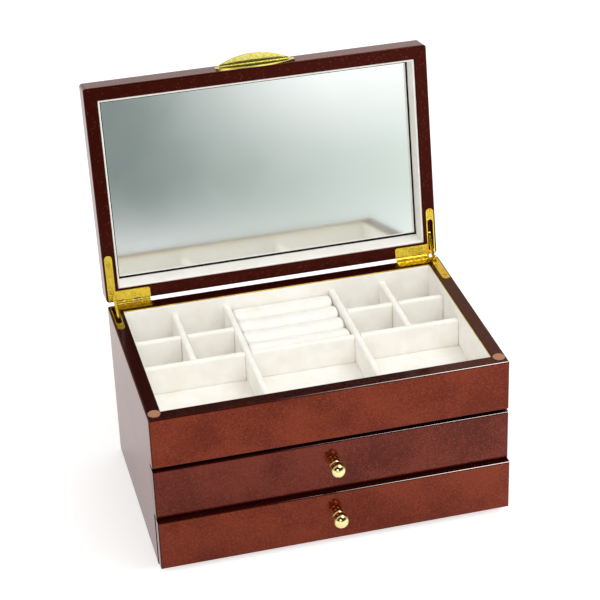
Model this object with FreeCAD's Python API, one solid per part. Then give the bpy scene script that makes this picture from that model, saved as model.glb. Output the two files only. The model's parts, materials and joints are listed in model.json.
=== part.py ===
import FreeCAD, Part
import math
import os
from FreeCAD import Vector

# Ring box with two drawers, a divided tray and a mirrored lid.  All sizes are in millimetres.
# X runs left to right, Y front to back, Z up.  The origin lies in the resting plane, under the
# middle of the closed box.  At rest the lid is fully open, the upper drawer is closed and the
# lower drawer is a little ajar.

# ---- driving dimensions -------------------------------------------------------------------

# Case
case_width = 286.0
case_depth = 182.0
wall = 11.0                      # side, back and front boards, and the lid's rails
front_height = 43.7              # the fixed front and the two drawer fronts
front_gap = 2.8                  # shadow gap between the fixed front and the upper drawer
drawer_gap = 0.6                 # between the two drawer fronts
drawer_front_thickness = 10.0
base_thickness = 5.5
shelf_thickness = 4.0
shelf_rise = 1.0                 # shelf top above the lower edge of the upper drawer front
arris = 1.2                      # rounding of the case's outer edges
felt_thickness = 1.0
felt_inset = 3.0
boards_gap = 0.05                # glued boards stand this far apart

# Tray
tray_depth = 33.5                # rim to the lined floor
tray_board = 4.0
floor_lining = 1.5
wall_lining = 1.2
lining_drop = 1.6                # rim to the top of the wall lining
trim_height = 1.0
trim_thickness = 0.4
divider_thickness = 5.4
divider_height = 24.5
divider_round = 1.6
divider_gap = 0.1                # between padded boards that meet
centre_bay = 85.4                # clear width between the two long dividers
front_bay = 75.8                 # clear depth of the front compartments
roll_count = 4
roll_height = 23.5
roll_crown = 7.5                 # height of the rounded top
roll_end_gap = 0.5

# Lid
lid_height = 23.0
lid_panel_thickness = 4.5
lid_open_angle = 99.4
lid_arris = 1.5
lid_inner_arris = 0.8
lid_corner = 2.5
axis_setback = 1.2               # hinge axis behind the back face
axis_rise = 0.55                 # hinge axis above the case's rim
mirror_recess = 15.0             # rim plane to the glass
mirror_thickness = 2.5
mirror_backing_gap = 0.3
mirror_groove = 1.5              # between the glass and the foot of the lining
mirror_lining_rim = 1.5          # the lining boards are wedges: this thick at the rim
mirror_lining_side = 2.3         # and this thick at the foot, at the sides
mirror_lining_end = 4.0          # and at the front and the back
mirror_lining_drop = 1.0

# Bumper discs on the rim
bumper_radius = 4.8
bumper_thickness = 0.9
bumper_from_side = 6.1
bumper_from_front = 8.6

# Hinges: two legs at a right angle, one along the side rail and one along the back rail
leaf_thickness = 1.5
leaf_proud = 0.4
side_leg_width = 6.5
side_leg_centre = 4.9            # from the outer face of the side
side_leg_length = 41.0           # from the back face
back_leg_width = 9.5
back_leg_end = 37.0              # from the outer face of the side
back_leg_round = 2.0
inlay_gap = 0.1                  # leaf to the wood around it
barrel_radius = 2.2
barrel_gap = 0.35                # barrel to the other leaf and to the wood
barrel_start = 7.4               # from the outer face of the side
knuckle_length = 7.25
knuckle_count = 4
knuckle_gap = 0.4
pin_radius = 1.1
pin_clearance = 0.05

# Lid stay: a flat arm, pivoted on one leaf, that slides in a slot of the other leaf
arm_pivot = 7.5                  # pivot from the hinge axis, along the leaf
arm_slack = 3.4                  # sliding end to the far end of the slot with the lid shut
arm_width = 3.2
arm_thickness = 1.7
arm_offset = 1.7                 # pivot above the plane in which the leaves meet
rivet_radius = 0.8
lug_radius = 2.0
lug_thickness = 1.1
arm_gap = 0.1
slot_width = 4.8
slot_start = 4.4                 # from the hinge axis
slot_from_end = 9.8              # far end of the slot to the leg's end
pocket_depth = 4.6               # wood pocket, from the plane in which the leaves meet
pocket_side_gap = 0.15

# Hinge screws
screw_head_radius = 2.1
screw_shank_radius = 1.0
screw_cone = 1.2
screw_length = 9.0
screw_fit = 0.05
head_bore_ring = 0.2             # bore in the leaf, wider than the head
head_bore_depth = 0.6
driver_slot_width = 0.7
driver_slot_depth = 0.6
leg_screw_from_end = 7.3         # from the leg's end
end_screw_from_end = 2.9         # the slotted leaf's second screw
back_screw_across = 23.0         # from the outer face of the side
back_screw_in = 5.3              # from the back face

# Lid pull
pull_length = 66.0
pull_level = 11.5                # underside of the lip above the lid's rim plane
pull_plate = 1.2
pull_plate_drop = 11.0           # lip down to the plate's lowest point
pull_plate_end = 5.0             # height of the plate at its two ends
pull_lip_reach = 9.2             # from the lid's front face
pull_lip_thickness = 1.5
pull_corner = 0.6                # hollow corner between plate and lip
pull_border = 1.6                # round the dish in the lip's underside
pull_dish = 0.5
pull_pin_radius = 0.8
pull_pin_length = 7.0
pull_pin_spacing = 46.0
pull_pin_drop = 4.0

# Drawers
drawer_side = 7.0
drawer_back = 7.0
drawer_bottom = 3.0
drawer_bottom_rise = 1.5
drawer_groove = 2.5
groove_gap = 0.1
drawer_side_drop = 5.5           # front height less side height
drawer_side_gap = 0.8
drawer_run_gap = 0.3
drawer_back_gap = 3.0
drawer_front_gap = 0.3           # drawer front to the edges of the sides
drawer_ajar = 5.0
drawer_floor_lining = 1.2
drawer_wall_lining = 1.0
drawer_lining_drop = 2.0

# Knobs: a small bead behind a larger ball
knob_rise = 2.0                  # above the middle of the drawer front
bead_radius = 5.5
bead_centre = 2.4                # from the drawer front
ball_radius = 6.4
ball_centre = 9.8
stud_radius = 1.6
stud_reach = 7.0                 # stud inside the knob
stud_fit = 0.05
stud_hole_fit = 0.2
stud_head_radius = 3.4
stud_head = 2.2
stud_head_gap = 0.3

# ---- planes worked out from them ----------------------------------------------------------

tiny = 0.001
half_width = case_width / 2
front_y = -case_depth / 2
back_y = case_depth / 2
inner_x = half_width - wall
inner_front = front_y + wall
inner_back = back_y - wall
opening_front = front_y + drawer_front_thickness
case_bottom = felt_thickness
case_height = base_thickness + 3 * front_height + drawer_gap + front_gap
rim_z = case_bottom + case_height
base_top = case_bottom + base_thickness
lower_front_z = base_top
upper_front_z = lower_front_z + front_height + drawer_gap
fixed_front_z = upper_front_z + front_height + front_gap
shelf_top = upper_front_z + shelf_rise
tray_floor_z = rim_z - tray_depth
lining_x = inner_x - wall_lining
lining_front = inner_front + wall_lining
lining_back = inner_back - wall_lining
lining_top = rim_z - lining_drop
divider_top = tray_floor_z + divider_height
axis_y = back_y + axis_setback
axis_z = rim_z + axis_rise
lid_rim_z = rim_z + 2 * axis_rise
rail_top_z = lid_rim_z + lid_height - lid_panel_thickness
glass_z = lid_rim_z + mirror_recess
leaf_top_z = rim_z + leaf_proud
leg_x = half_width - side_leg_centre
leg_end_y = back_y - side_leg_length
slot_end = side_leg_length + axis_setback - slot_from_end
arm_closed_reach = slot_end - arm_slack


# ---- small helpers ------------------------------------------------------------------------

def block(x0, x1, y0, y1, z0, z1):
    """A box between two corners."""
    return Part.makeBox(x1 - x0, y1 - y0, z1 - z0, Vector(x0, y0, z0))


def rod(radius, start, direction, length):
    """A cylinder from a point along a direction."""
    return Part.makeCylinder(radius, length, Vector(*start), Vector(*direction))


def prism(points, direction):
    """A straight prism on a closed outline of points."""
    outline = Part.makePolygon([Vector(*p) for p in points + points[:1]])
    return Part.Face(outline).extrude(Vector(*direction))


def soften(solid, radius, *wanted):
    """Round the straight edges that one of the wanted (axis, place, axis, place) pairs names."""
    chosen = []
    for edge in solid.Edges:
        box = edge.BoundBox
        spans = {"x": (box.XMin, box.XMax), "y": (box.YMin, box.YMax), "z": (box.ZMin, box.ZMax)}
        for axis_a, place_a, axis_b, place_b in wanted:
            ends = spans[axis_a] + spans[axis_b]
            places = (place_a, place_a, place_b, place_b)
            if all(abs(end - place) < tiny for end, place in zip(ends, places)):
                chosen.append(edge)
    return solid.makeFillet(radius, chosen)


def group(solids):
    """Separate solids that share one node."""
    return Part.makeCompound(solids)


def flip_x(shape):
    """The same piece on the other side of the box."""
    return shape.mirror(Vector(0, 0, 0), Vector(1, 0, 0))


def turn(shape, centre_y, centre_z, degrees):
    """A copy of the shape, turned about an axis along X."""
    turned = shape.copy()
    turned.rotate(Vector(0, centre_y, centre_z), Vector(1, 0, 0), degrees)
    return turned


def open_lid(shape):
    """A piece of the closed lid, swung to the rest position."""
    return turn(shape, axis_y, axis_z, -lid_open_angle)


def flip_hinge(shape):
    """The right hinge's piece as the same piece of the left hinge: half a turn about Y."""
    flipped = shape.copy()
    flipped.rotate(Vector(0, 0, axis_z), Vector(0, 1, 0), 180)
    return flipped


# ---- lid stay geometry --------------------------------------------------------------------

def stay_swing():
    """How far the arm turns on its leaf between a shut lid and the lid at rest, in degrees."""
    opening = math.radians(lid_open_angle)
    arm_length = arm_closed_reach - arm_pivot
    pivot = (arm_pivot, arm_offset)
    along = (math.cos(opening), math.sin(opening))
    across = (-arm_offset * math.sin(opening), arm_offset * math.cos(opening))
    to_line = (across[0] - pivot[0], across[1] - pivot[1])
    half_b = along[0] * to_line[0] + along[1] * to_line[1]
    rest = to_line[0] ** 2 + to_line[1] ** 2 - arm_length ** 2
    reach = -half_b + math.sqrt(half_b ** 2 - rest)
    end = (reach * along[0] + to_line[0], reach * along[1] + to_line[1])
    return math.degrees(math.atan2(end[1], end[0]))


stay_turn = stay_swing()
pivot_y = axis_y - arm_pivot
pivot_z = axis_z + arm_offset


# ---- hinges: the right hinge with the lid shut, case leaf below, lid leaf above ------------

def leaf_outline(gap):
    """The two-legged leaf in plan, grown by a gap, as a flat face at Z 0."""
    x_out = leg_x + side_leg_width / 2 + gap
    x_in = leg_x - side_leg_width / 2 - gap
    x_end = half_width - back_leg_end - gap
    y_back = axis_y - barrel_radius - barrel_gap + gap
    y_leg = back_y - back_leg_width - gap
    y_end = leg_end_y - gap
    y_round = y_end + (x_out - x_in) / 2
    corner = back_leg_round
    slant = corner * (1 - math.sqrt(0.5))
    edges = [
        Part.makeLine(Vector(x_out, y_back, 0), Vector(x_out, y_round, 0)),
        Part.Arc(Vector(x_out, y_round, 0), Vector((x_out + x_in) / 2, y_end, 0),
                 Vector(x_in, y_round, 0)).toShape(),
        Part.makeLine(Vector(x_in, y_round, 0), Vector(x_in, y_leg, 0)),
        Part.makeLine(Vector(x_in, y_leg, 0), Vector(x_end + corner, y_leg, 0)),
        Part.Arc(Vector(x_end + corner, y_leg, 0), Vector(x_end + slant, y_leg + slant, 0),
                 Vector(x_end, y_leg + corner, 0)).toShape(),
        Part.makeLine(Vector(x_end, y_leg + corner, 0), Vector(x_end, y_back, 0)),
        Part.makeLine(Vector(x_end, y_back, 0), Vector(x_out, y_back, 0)),
    ]
    return Part.Face(Part.Wire(edges))


def leaf_plate(gap, bottom, top):
    plate = leaf_outline(gap).extrude(Vector(0, 0, top - bottom))
    plate.translate(Vector(0, 0, bottom))
    return plate


def long_hole(width, z0, z1):
    """The slot along the side leg, with round ends."""
    radius = width / 2
    y_near = axis_y - slot_start - slot_width / 2
    y_far = axis_y - slot_end + slot_width / 2
    middle = block(leg_x - radius, leg_x + radius, y_far, y_near, z0, z1)
    near_end = rod(radius, (leg_x, y_near, z0), (0, 0, 1), z1 - z0)
    far_end = rod(radius, (leg_x, y_far, z0), (0, 0, 1), z1 - z0)
    return middle.fuse([near_end, far_end]).removeSplitter()


def knuckle(index, radius, gap):
    """One length of the barrel; a negative gap makes it longer."""
    x_high = half_width - barrel_start - index * knuckle_length - gap
    length = knuckle_length - 2 * gap
    return rod(radius, (x_high - length, axis_y, axis_z), (1, 0, 0), length)


def screw_places(slotted):
    """Screw centres on a leaf in plan, counted for the right hinge."""
    places = [(leg_x, leg_end_y + leg_screw_from_end),
              (half_width - back_screw_across, back_y - back_screw_in)]
    if slotted:
        places.append((leg_x, leg_end_y + end_screw_from_end))
    return places


def screw(x, y, fit):
    """A countersunk screw, driven down; the fit grows it into its own hole."""
    head_z = leaf_top_z - screw_cone
    cone = Part.makeCone(screw_shank_radius + fit, screw_head_radius + fit, screw_cone,
                         Vector(x, y, head_z))
    shank = rod(screw_shank_radius + fit, (x, y, leaf_top_z - screw_length - fit), (0, 0, 1),
                screw_length - screw_cone + fit)
    return cone.fuse(shank)


def driven_screw(x, y):
    """A screw with a cross for the driver."""
    long_side = screw_head_radius - screw_fit
    short_side = driver_slot_width / 2
    floor = leaf_top_z - driver_slot_depth
    bar_x = block(x - long_side, x + long_side, y - short_side, y + short_side, floor, leaf_top_z)
    bar_y = block(x - short_side, x + short_side, y - long_side, y + long_side, floor, leaf_top_z)
    return screw(x, y, 0).cut(bar_x.fuse(bar_y))


def hinge_leaf(own_knuckles, slotted):
    """One leaf as it lies on the case: plate, its knuckles, its screw holes and its slot or lug."""
    body = leaf_plate(0, leaf_top_z - leaf_thickness, leaf_top_z)
    for index in own_knuckles:
        barrel = knuckle(index, barrel_radius, knuckle_gap)
        box = barrel.BoundBox
        tongue = block(box.XMin, box.XMax, axis_y - barrel_radius - 2 * barrel_gap, axis_y,
                       leaf_top_z - leaf_thickness, leaf_top_z)
        body = body.fuse([barrel, tongue])
    bore_start = half_width - barrel_start - knuckle_count * knuckle_length
    bore = rod(pin_radius + pin_clearance, (bore_start, axis_y, axis_z), (1, 0, 0),
               knuckle_count * knuckle_length)
    body = body.cut(bore)
    for x, y in screw_places(slotted):
        head_bore = rod(screw_head_radius + head_bore_ring, (x, y, leaf_top_z - head_bore_depth),
                        (0, 0, 1), head_bore_depth)
        body = body.cut([screw(x, y, screw_fit), head_bore])
    if slotted:
        return body.cut(long_hole(slot_width, leaf_top_z - leaf_thickness - 1, leaf_top_z + 1))
    return body.fuse(pivot_lug()).removeSplitter()


def pivot_lug():
    """The ear beside the arm, with the rivet that the arm turns on."""
    x0 = leg_x + arm_gap / 2
    x1 = x0 + lug_thickness
    ear = rod(lug_radius, (x0, pivot_y, pivot_z), (1, 0, 0), lug_thickness)
    foot = block(x0, x1, pivot_y - lug_radius, pivot_y + lug_radius, leaf_top_z - leaf_thickness / 2,
                 pivot_z)
    rivet = rod(rivet_radius, (x0 - arm_gap - arm_thickness, pivot_y, pivot_z), (1, 0, 0),
                arm_gap + arm_thickness + lug_thickness / 2)
    return ear.fuse([foot, rivet])


def stay_arm():
    """The arm with the lid shut: straight forward from its pivot."""
    x1 = leg_x - arm_gap / 2
    x0 = x1 - arm_thickness
    reach = arm_closed_reach - arm_pivot
    bar = block(x0, x1, pivot_y - reach, pivot_y, pivot_z - arm_width / 2, pivot_z + arm_width / 2)
    eye = rod(arm_width / 2, (x0, pivot_y, pivot_z), (1, 0, 0), arm_thickness)
    tip = rod(arm_width / 2, (x0, pivot_y - reach, pivot_z), (1, 0, 0), arm_thickness)
    hole = rod(rivet_radius + pin_clearance, (x0 - 1, pivot_y, pivot_z), (1, 0, 0),
               arm_thickness + 2)
    return bar.fuse([eye, tip]).cut(hole).removeSplitter()


def above(shape):
    """A leaf's piece that lies on the case, as it lies under the shut lid."""
    return shape.mirror(Vector(0, 0, axis_z), Vector(0, 0, 1))


def wood_cuts(slotted):
    """What one hinge leaf takes out of the case's boards."""
    plate = leaf_plate(inlay_gap, leaf_top_z - leaf_thickness, axis_z + barrel_radius)
    barrel = rod(barrel_radius + barrel_gap,
                 (half_width - barrel_start - knuckle_count * knuckle_length - barrel_gap, axis_y, axis_z),
                 (1, 0, 0), knuckle_count * knuckle_length + 2 * barrel_gap)
    tongues = block(half_width - barrel_start - knuckle_count * knuckle_length - barrel_gap,
                    half_width - barrel_start + barrel_gap,
                    axis_y - barrel_radius - 2 * barrel_gap, axis_y,
                    leaf_top_z - leaf_thickness, axis_z)
    cuts = [plate, barrel, tongues]
    if slotted:
        cuts.append(long_hole(slot_width + 2 * pocket_side_gap, axis_z - pocket_depth, rim_z + 1))
    for x, y in screw_places(slotted):
        cuts.append(screw(x, y, screw_fit))
    return cuts


def cut_all(board, cuts):
    for cutter in cuts:
        board = board.cut(cutter)
    return board


outer_knuckles = range(0, knuckle_count, 2)
inner_knuckles = range(1, knuckle_count, 2)

plain_leaf = hinge_leaf(inner_knuckles, False)
slotted_leaf = above(hinge_leaf(outer_knuckles, True))
plain_cuts = wood_cuts(False)
slotted_cuts = [above(cutter) for cutter in wood_cuts(True)]
case_cuts = plain_cuts + [flip_hinge(cutter) for cutter in slotted_cuts]
lid_cuts = slotted_cuts + [flip_hinge(cutter) for cutter in plain_cuts]

# ---- case ---------------------------------------------------------------------------------

nodes = {}


def side_panel():
    """The right side, notched for the fixed front, before its hinge is let in."""
    board = block(inner_x + boards_gap, half_width, opening_front + boards_gap, back_y, case_bottom, rim_z)
    board = soften(board, arris,
                   ("x", half_width, "y", back_y), ("x", half_width, "z", rim_z),
                   ("y", back_y, "z", rim_z), ("x", half_width, "z", case_bottom))
    return board.cut(block(inner_x, half_width + 1, front_y, inner_front + boards_gap,
                           fixed_front_z - boards_gap, rim_z + 1))


def case_boards():
    nodes["side_panel_right"] = cut_all(side_panel(), case_cuts)
    nodes["side_panel_left"] = cut_all(flip_x(side_panel()), case_cuts)
    back = block(-inner_x, inner_x, inner_back, back_y, case_bottom, rim_z)
    back = soften(back, arris, ("y", back_y, "z", rim_z))
    nodes["back_panel"] = cut_all(back, case_cuts)
    front = block(-half_width, half_width, front_y, inner_front, fixed_front_z, rim_z)
    nodes["front_panel"] = soften(front, arris,
                                  ("y", front_y, "z", rim_z), ("y", front_y, "z", fixed_front_z),
                                  ("y", front_y, "x", half_width), ("y", front_y, "x", -half_width),
                                  ("z", rim_z, "x", half_width), ("z", rim_z, "x", -half_width))
    deep = (opening_front, inner_back - boards_gap)
    nodes["base_panel"] = block(-inner_x, inner_x, *deep, case_bottom, base_top)
    nodes["drawer_shelf"] = block(-inner_x, inner_x, *deep, shelf_top - shelf_thickness, shelf_top)
    board_top = tray_floor_z - floor_lining
    nodes["tray_floor_panel"] = block(-inner_x, inner_x, inner_front + boards_gap,
                                      inner_back - boards_gap, board_top - tray_board, board_top)
    nodes["base_felt"] = block(-half_width + felt_inset, half_width - felt_inset,
                               inner_front + felt_inset, back_y - felt_inset, 0, felt_thickness)


def bumper(x):
    disc = rod(bumper_radius, (x, front_y + bumper_from_front, rim_z), (0, 0, 1), bumper_thickness)
    rim = [edge for edge in disc.Edges if edge.BoundBox.ZMin > rim_z + bumper_thickness - tiny]
    return disc.makeChamfer(bumper_thickness / 3, rim)


# ---- tray ---------------------------------------------------------------------------------

def frame_boards(x_out, y_front, y_back, thickness, z0, z1):
    """Four boards that line a rectangular opening, the long ones running through."""
    x_in = x_out - thickness
    return [
        block(-x_out, x_out, y_front, y_front + thickness, z0, z1),
        block(-x_out, x_out, y_back - thickness, y_back, z0, z1),
        block(-x_out, -x_in, y_front + thickness, y_back - thickness, z0, z1),
        block(x_in, x_out, y_front + thickness, y_back - thickness, z0, z1),
    ]


def divider(x0, x1, y0, y1):
    """A padded board that stands on the tray floor, with its two long top edges rounded."""
    board = block(x0, x1, y0, y1, tray_floor_z, divider_top)
    if x1 - x0 < y1 - y0:
        return soften(board, divider_round, ("x", x0, "z", divider_top), ("x", x1, "z", divider_top))
    return soften(board, divider_round, ("y", y0, "z", divider_top), ("y", y1, "z", divider_top))


def ring_roll(y0, y1):
    """A foam strip with a rounded top, across the centre bay."""
    x0 = -centre_bay / 2 + roll_end_gap
    x1 = centre_bay / 2 - roll_end_gap
    top = tray_floor_z + roll_height
    shoulder = top - roll_crown
    corners = [Vector(x0, y0, shoulder), Vector(x0, y0, tray_floor_z),
               Vector(x0, y1, tray_floor_z), Vector(x0, y1, shoulder)]
    crown = Part.Arc(corners[3], Vector(x0, (y0 + y1) / 2, top), corners[0]).toShape()
    outline = Part.Wire([*Part.makePolygon(corners).Edges, crown])
    return Part.Face(outline).extrude(Vector(x1 - x0, 0, 0))


def tray():
    nodes["tray_floor_lining"] = block(-inner_x, inner_x, inner_front + boards_gap,
                                       inner_back - boards_gap, tray_floor_z - floor_lining, tray_floor_z)
    nodes["tray_wall_lining"] = group(frame_boards(inner_x, inner_front, inner_back, wall_lining,
                                                   tray_floor_z, lining_top))
    nodes["tray_edge_trim"] = group(frame_boards(inner_x, inner_front, inner_back, trim_thickness,
                                                 lining_top, lining_top + trim_height))

    bay = centre_bay / 2
    long_out = bay + divider_thickness
    cross_front = lining_front + front_bay
    cross_back = cross_front + divider_thickness
    y0 = lining_front + divider_gap
    y1 = lining_back - divider_gap
    nodes["long_divider_left"] = divider(-long_out, -bay, y0, y1)
    nodes["long_divider_right"] = divider(bay, long_out, y0, y1)
    side_in = long_out + divider_gap
    side_out = lining_x - divider_gap
    nodes["front_cross_divider_left"] = divider(-side_out, -side_in, cross_front, cross_back)
    nodes["front_cross_divider_right"] = divider(side_in, side_out, cross_front, cross_back)
    nodes["front_cross_divider_centre"] = divider(-bay + divider_gap, bay - divider_gap,
                                                  cross_front, cross_back)

    # The small cells: one divider front to back and one across, halved into each other.
    cell_x = (long_out + lining_x) / 2
    cell_y = (cross_back + lining_back) / 2
    half = divider_thickness / 2
    deep = divider(cell_x - half, cell_x + half, cross_back + divider_gap, y1)
    wide = divider(side_in, side_out, cell_y - half, cell_y + half)
    middle = tray_floor_z + divider_height / 2
    notch = (cell_x - half - divider_gap, cell_x + half + divider_gap,
             cell_y - half - divider_gap, cell_y + half + divider_gap)
    deep = deep.cut(block(*notch, middle - divider_gap / 2, divider_top + 1))
    wide = wide.cut(block(*notch, tray_floor_z - 1, middle + divider_gap / 2))
    nodes["cell_dividers_deep"] = group([flip_x(deep), deep])
    nodes["cell_dividers_wide"] = group([flip_x(wide), wide])

    rolls_start = cross_back + divider_gap
    pitch = (lining_back - rolls_start) / roll_count
    for index in range(roll_count):
        y_near = rolls_start + index * pitch
        nodes["ring_roll_%d" % (index + 1)] = ring_roll(y_near, y_near + pitch - divider_gap)


# ---- hinges on the case -------------------------------------------------------------------

def placed_screws(slotted):
    return [driven_screw(x, y) for x, y in screw_places(slotted)]


def hinge_pin():
    start = half_width - barrel_start - knuckle_count * knuckle_length
    return rod(pin_radius, (start, axis_y, axis_z), (1, 0, 0), knuckle_count * knuckle_length)


def hinges():
    nodes["hinge_leaf_case_right"] = plain_leaf
    nodes["hinge_leaf_case_left"] = flip_hinge(slotted_leaf)
    nodes["hinge_leaf_lid_right"] = open_lid(slotted_leaf)
    nodes["hinge_leaf_lid_left"] = open_lid(flip_hinge(plain_leaf))
    nodes["hinge_pins"] = group([flip_x(hinge_pin()), hinge_pin()])
    slotted_screws = [above(each) for each in placed_screws(True)]
    plain_screws = placed_screws(False)
    nodes["hinge_screws_case"] = group(plain_screws + [flip_hinge(each) for each in slotted_screws])
    nodes["hinge_screws_lid"] = group([open_lid(each) for each in slotted_screws]
                                      + [open_lid(flip_hinge(each)) for each in plain_screws])
    nodes["stay_arm_right"] = turn(stay_arm(), pivot_y, pivot_z, -stay_turn)
    left_arm = turn(flip_hinge(stay_arm()), pivot_y, 2 * axis_z - pivot_z, stay_turn)
    nodes["stay_arm_left"] = open_lid(left_arm)


# ---- lid ----------------------------------------------------------------------------------

def lid_rail(outline, far_x):
    """The front or the right rail, mitred, from its outline in plan."""
    plan = prism([(x, y, lid_rim_z) for x, y in outline], (0, 0, rail_top_z - lid_rim_z))
    corners = [("x", far_x, "y", front_y), ("x", -far_x, "y", front_y),
               ("x", far_x, "y", back_y), ("x", -far_x, "y", back_y)]
    whole = block(-half_width, half_width, front_y, back_y, lid_rim_z, rail_top_z)
    return plan.common(soften(whole, lid_corner, *corners))


def round_rail(rail, axis, outer, inner):
    """Round the two long edges that a rail shows at the rim."""
    rail = soften(rail, lid_inner_arris, (axis, inner, "z", lid_rim_z))
    return soften(rail, lid_arris, (axis, outer, "z", lid_rim_z))


def mirror_wedges():
    """The four lining boards round the mirror, thicker towards their foot."""
    z0 = lid_rim_z + mirror_lining_drop
    back = prism([(-inner_x, inner_back, z0), (-inner_x, inner_back - mirror_lining_rim, z0),
                  (-inner_x, inner_back - mirror_lining_end, glass_z), (-inner_x, inner_back, glass_z)],
                 (2 * inner_x, 0, 0))
    front = back.mirror(Vector(0, 0, 0), Vector(0, 1, 0))
    right = prism([(inner_x, inner_front, z0), (inner_x - mirror_lining_rim, inner_front, z0),
                   (inner_x - mirror_lining_side, inner_front, glass_z), (inner_x, inner_front, glass_z)],
                  (0, inner_back - inner_front, 0))
    right = right.cut(front).cut(back)
    return {"front": front, "back": back, "left": flip_x(right), "right": right}


def lid():
    front_outline = [(-half_width, front_y), (half_width, front_y),
                     (inner_x, inner_front), (-inner_x, inner_front)]
    right_outline = [(half_width, front_y), (half_width, back_y),
                     (inner_x, inner_back), (inner_x, inner_front)]
    front = round_rail(lid_rail(front_outline, half_width), "y", front_y, inner_front)
    right = round_rail(lid_rail(right_outline, half_width), "x", half_width, inner_x)
    back = front.mirror(Vector(0, 0, 0), Vector(0, 1, 0))
    nodes["lid_rail_front"] = open_lid(cut_all(front, pull_pins()))
    nodes["lid_rail_back"] = open_lid(cut_all(back, lid_cuts))
    nodes["lid_rail_right"] = open_lid(cut_all(right, lid_cuts))
    nodes["lid_rail_left"] = open_lid(cut_all(flip_x(right), lid_cuts))

    panel_top = lid_rim_z + lid_height
    panel = block(-half_width, half_width, front_y, back_y, rail_top_z, panel_top)
    panel = soften(panel, lid_corner, ("x", half_width, "y", front_y), ("x", -half_width, "y", front_y),
                   ("x", half_width, "y", back_y), ("x", -half_width, "y", back_y))
    top_edges = [edge for edge in panel.Edges if edge.BoundBox.ZMin > panel_top - tiny]
    nodes["lid_panel"] = open_lid(panel.makeFillet(lid_corner - tiny, top_edges))

    glass_x = inner_x - mirror_lining_side - mirror_groove
    glass_y = inner_back - mirror_lining_end - mirror_groove
    glass_back = glass_z + mirror_thickness
    nodes["mirror_glass"] = open_lid(block(-glass_x, glass_x, -glass_y, glass_y, glass_z, glass_back))
    back_x = inner_x - mirror_backing_gap
    back_y_edge = inner_back - mirror_backing_gap
    nodes["mirror_backing"] = open_lid(block(-back_x, back_x, -back_y_edge, back_y_edge,
                                             glass_back, rail_top_z))
    for place, wedge in mirror_wedges().items():
        nodes["mirror_lining_" + place] = open_lid(wedge)


def pull_pin(x, fit):
    z = lid_rim_z + pull_level - pull_pin_drop
    return rod(pull_pin_radius + fit, (x, front_y - pull_plate, z), (0, 1, 0),
               pull_pin_length + pull_plate + fit)


def pull_pins():
    """The holes for the pull's two pins."""
    return [pull_pin(sign * pull_pin_spacing / 2, screw_fit) for sign in (-1, 1)]


def lip_dish():
    """The shallow crescent hollow in the lip's underside, an even border inside its edge."""
    half = pull_length / 2
    radius = (half ** 2 + pull_lip_reach ** 2) / (2 * pull_lip_reach)
    near = pull_plate + pull_border
    far = pull_lip_reach - pull_border
    half_dish = math.sqrt((radius - pull_border) ** 2 - (radius - pull_lip_reach + near) ** 2)
    z_lip = lid_rim_z + pull_level
    edges = [
        Part.makeLine(Vector(-half_dish, front_y - near, z_lip), Vector(half_dish, front_y - near, z_lip)),
        Part.Arc(Vector(half_dish, front_y - near, z_lip), Vector(0, front_y - far, z_lip),
                 Vector(-half_dish, front_y - near, z_lip)).toShape(),
    ]
    return Part.Face(Part.Wire(edges)).extrude(Vector(0, 0, pull_dish))


def lid_pull():
    """A crescent pull: a plate on the lid's front edge and a lip that a finger lifts."""
    half = pull_length / 2
    z_lip = lid_rim_z + pull_level
    z_end = z_lip - pull_plate_end
    z_low = z_lip - pull_plate_drop
    y_face = front_y - pull_plate
    top = z_lip + pull_lip_thickness
    plate_edges = [
        Part.makeLine(Vector(-half, front_y, z_end), Vector(-half, front_y, top)),
        Part.makeLine(Vector(-half, front_y, top), Vector(half, front_y, top)),
        Part.makeLine(Vector(half, front_y, top), Vector(half, front_y, z_end)),
        Part.Arc(Vector(half, front_y, z_end), Vector(0, front_y, z_low),
                 Vector(-half, front_y, z_end)).toShape(),
    ]
    plate = Part.Face(Part.Wire(plate_edges)).extrude(Vector(0, -pull_plate, 0))
    lip_edges = [
        Part.makeLine(Vector(-half, front_y, z_lip), Vector(half, front_y, z_lip)),
        Part.Arc(Vector(half, front_y, z_lip), Vector(0, front_y - pull_lip_reach, z_lip),
                 Vector(-half, front_y, z_lip)).toShape(),
    ]
    lip = Part.Face(Part.Wire(lip_edges)).extrude(Vector(0, 0, pull_lip_thickness))
    # A bar with a hollow side rounds the corner below the lip; the lip's crescent trims its ends.
    bar = block(-half, half, y_face - pull_corner, y_face, z_lip - pull_corner, z_lip)
    hollow = rod(pull_corner, (-half, y_face - pull_corner, z_lip - pull_corner), (1, 0, 0),
                 pull_length)
    crescent = Part.Face(Part.Wire(lip_edges)).extrude(Vector(0, 0, -pull_corner))
    body = plate.fuse([lip, bar.cut(hollow).common(crescent)]).cut(lip_dish())
    for hole in pull_pins():
        body = body.cut(hole)
    return body.removeSplitter()


# ---- drawers ------------------------------------------------------------------------------

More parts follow.
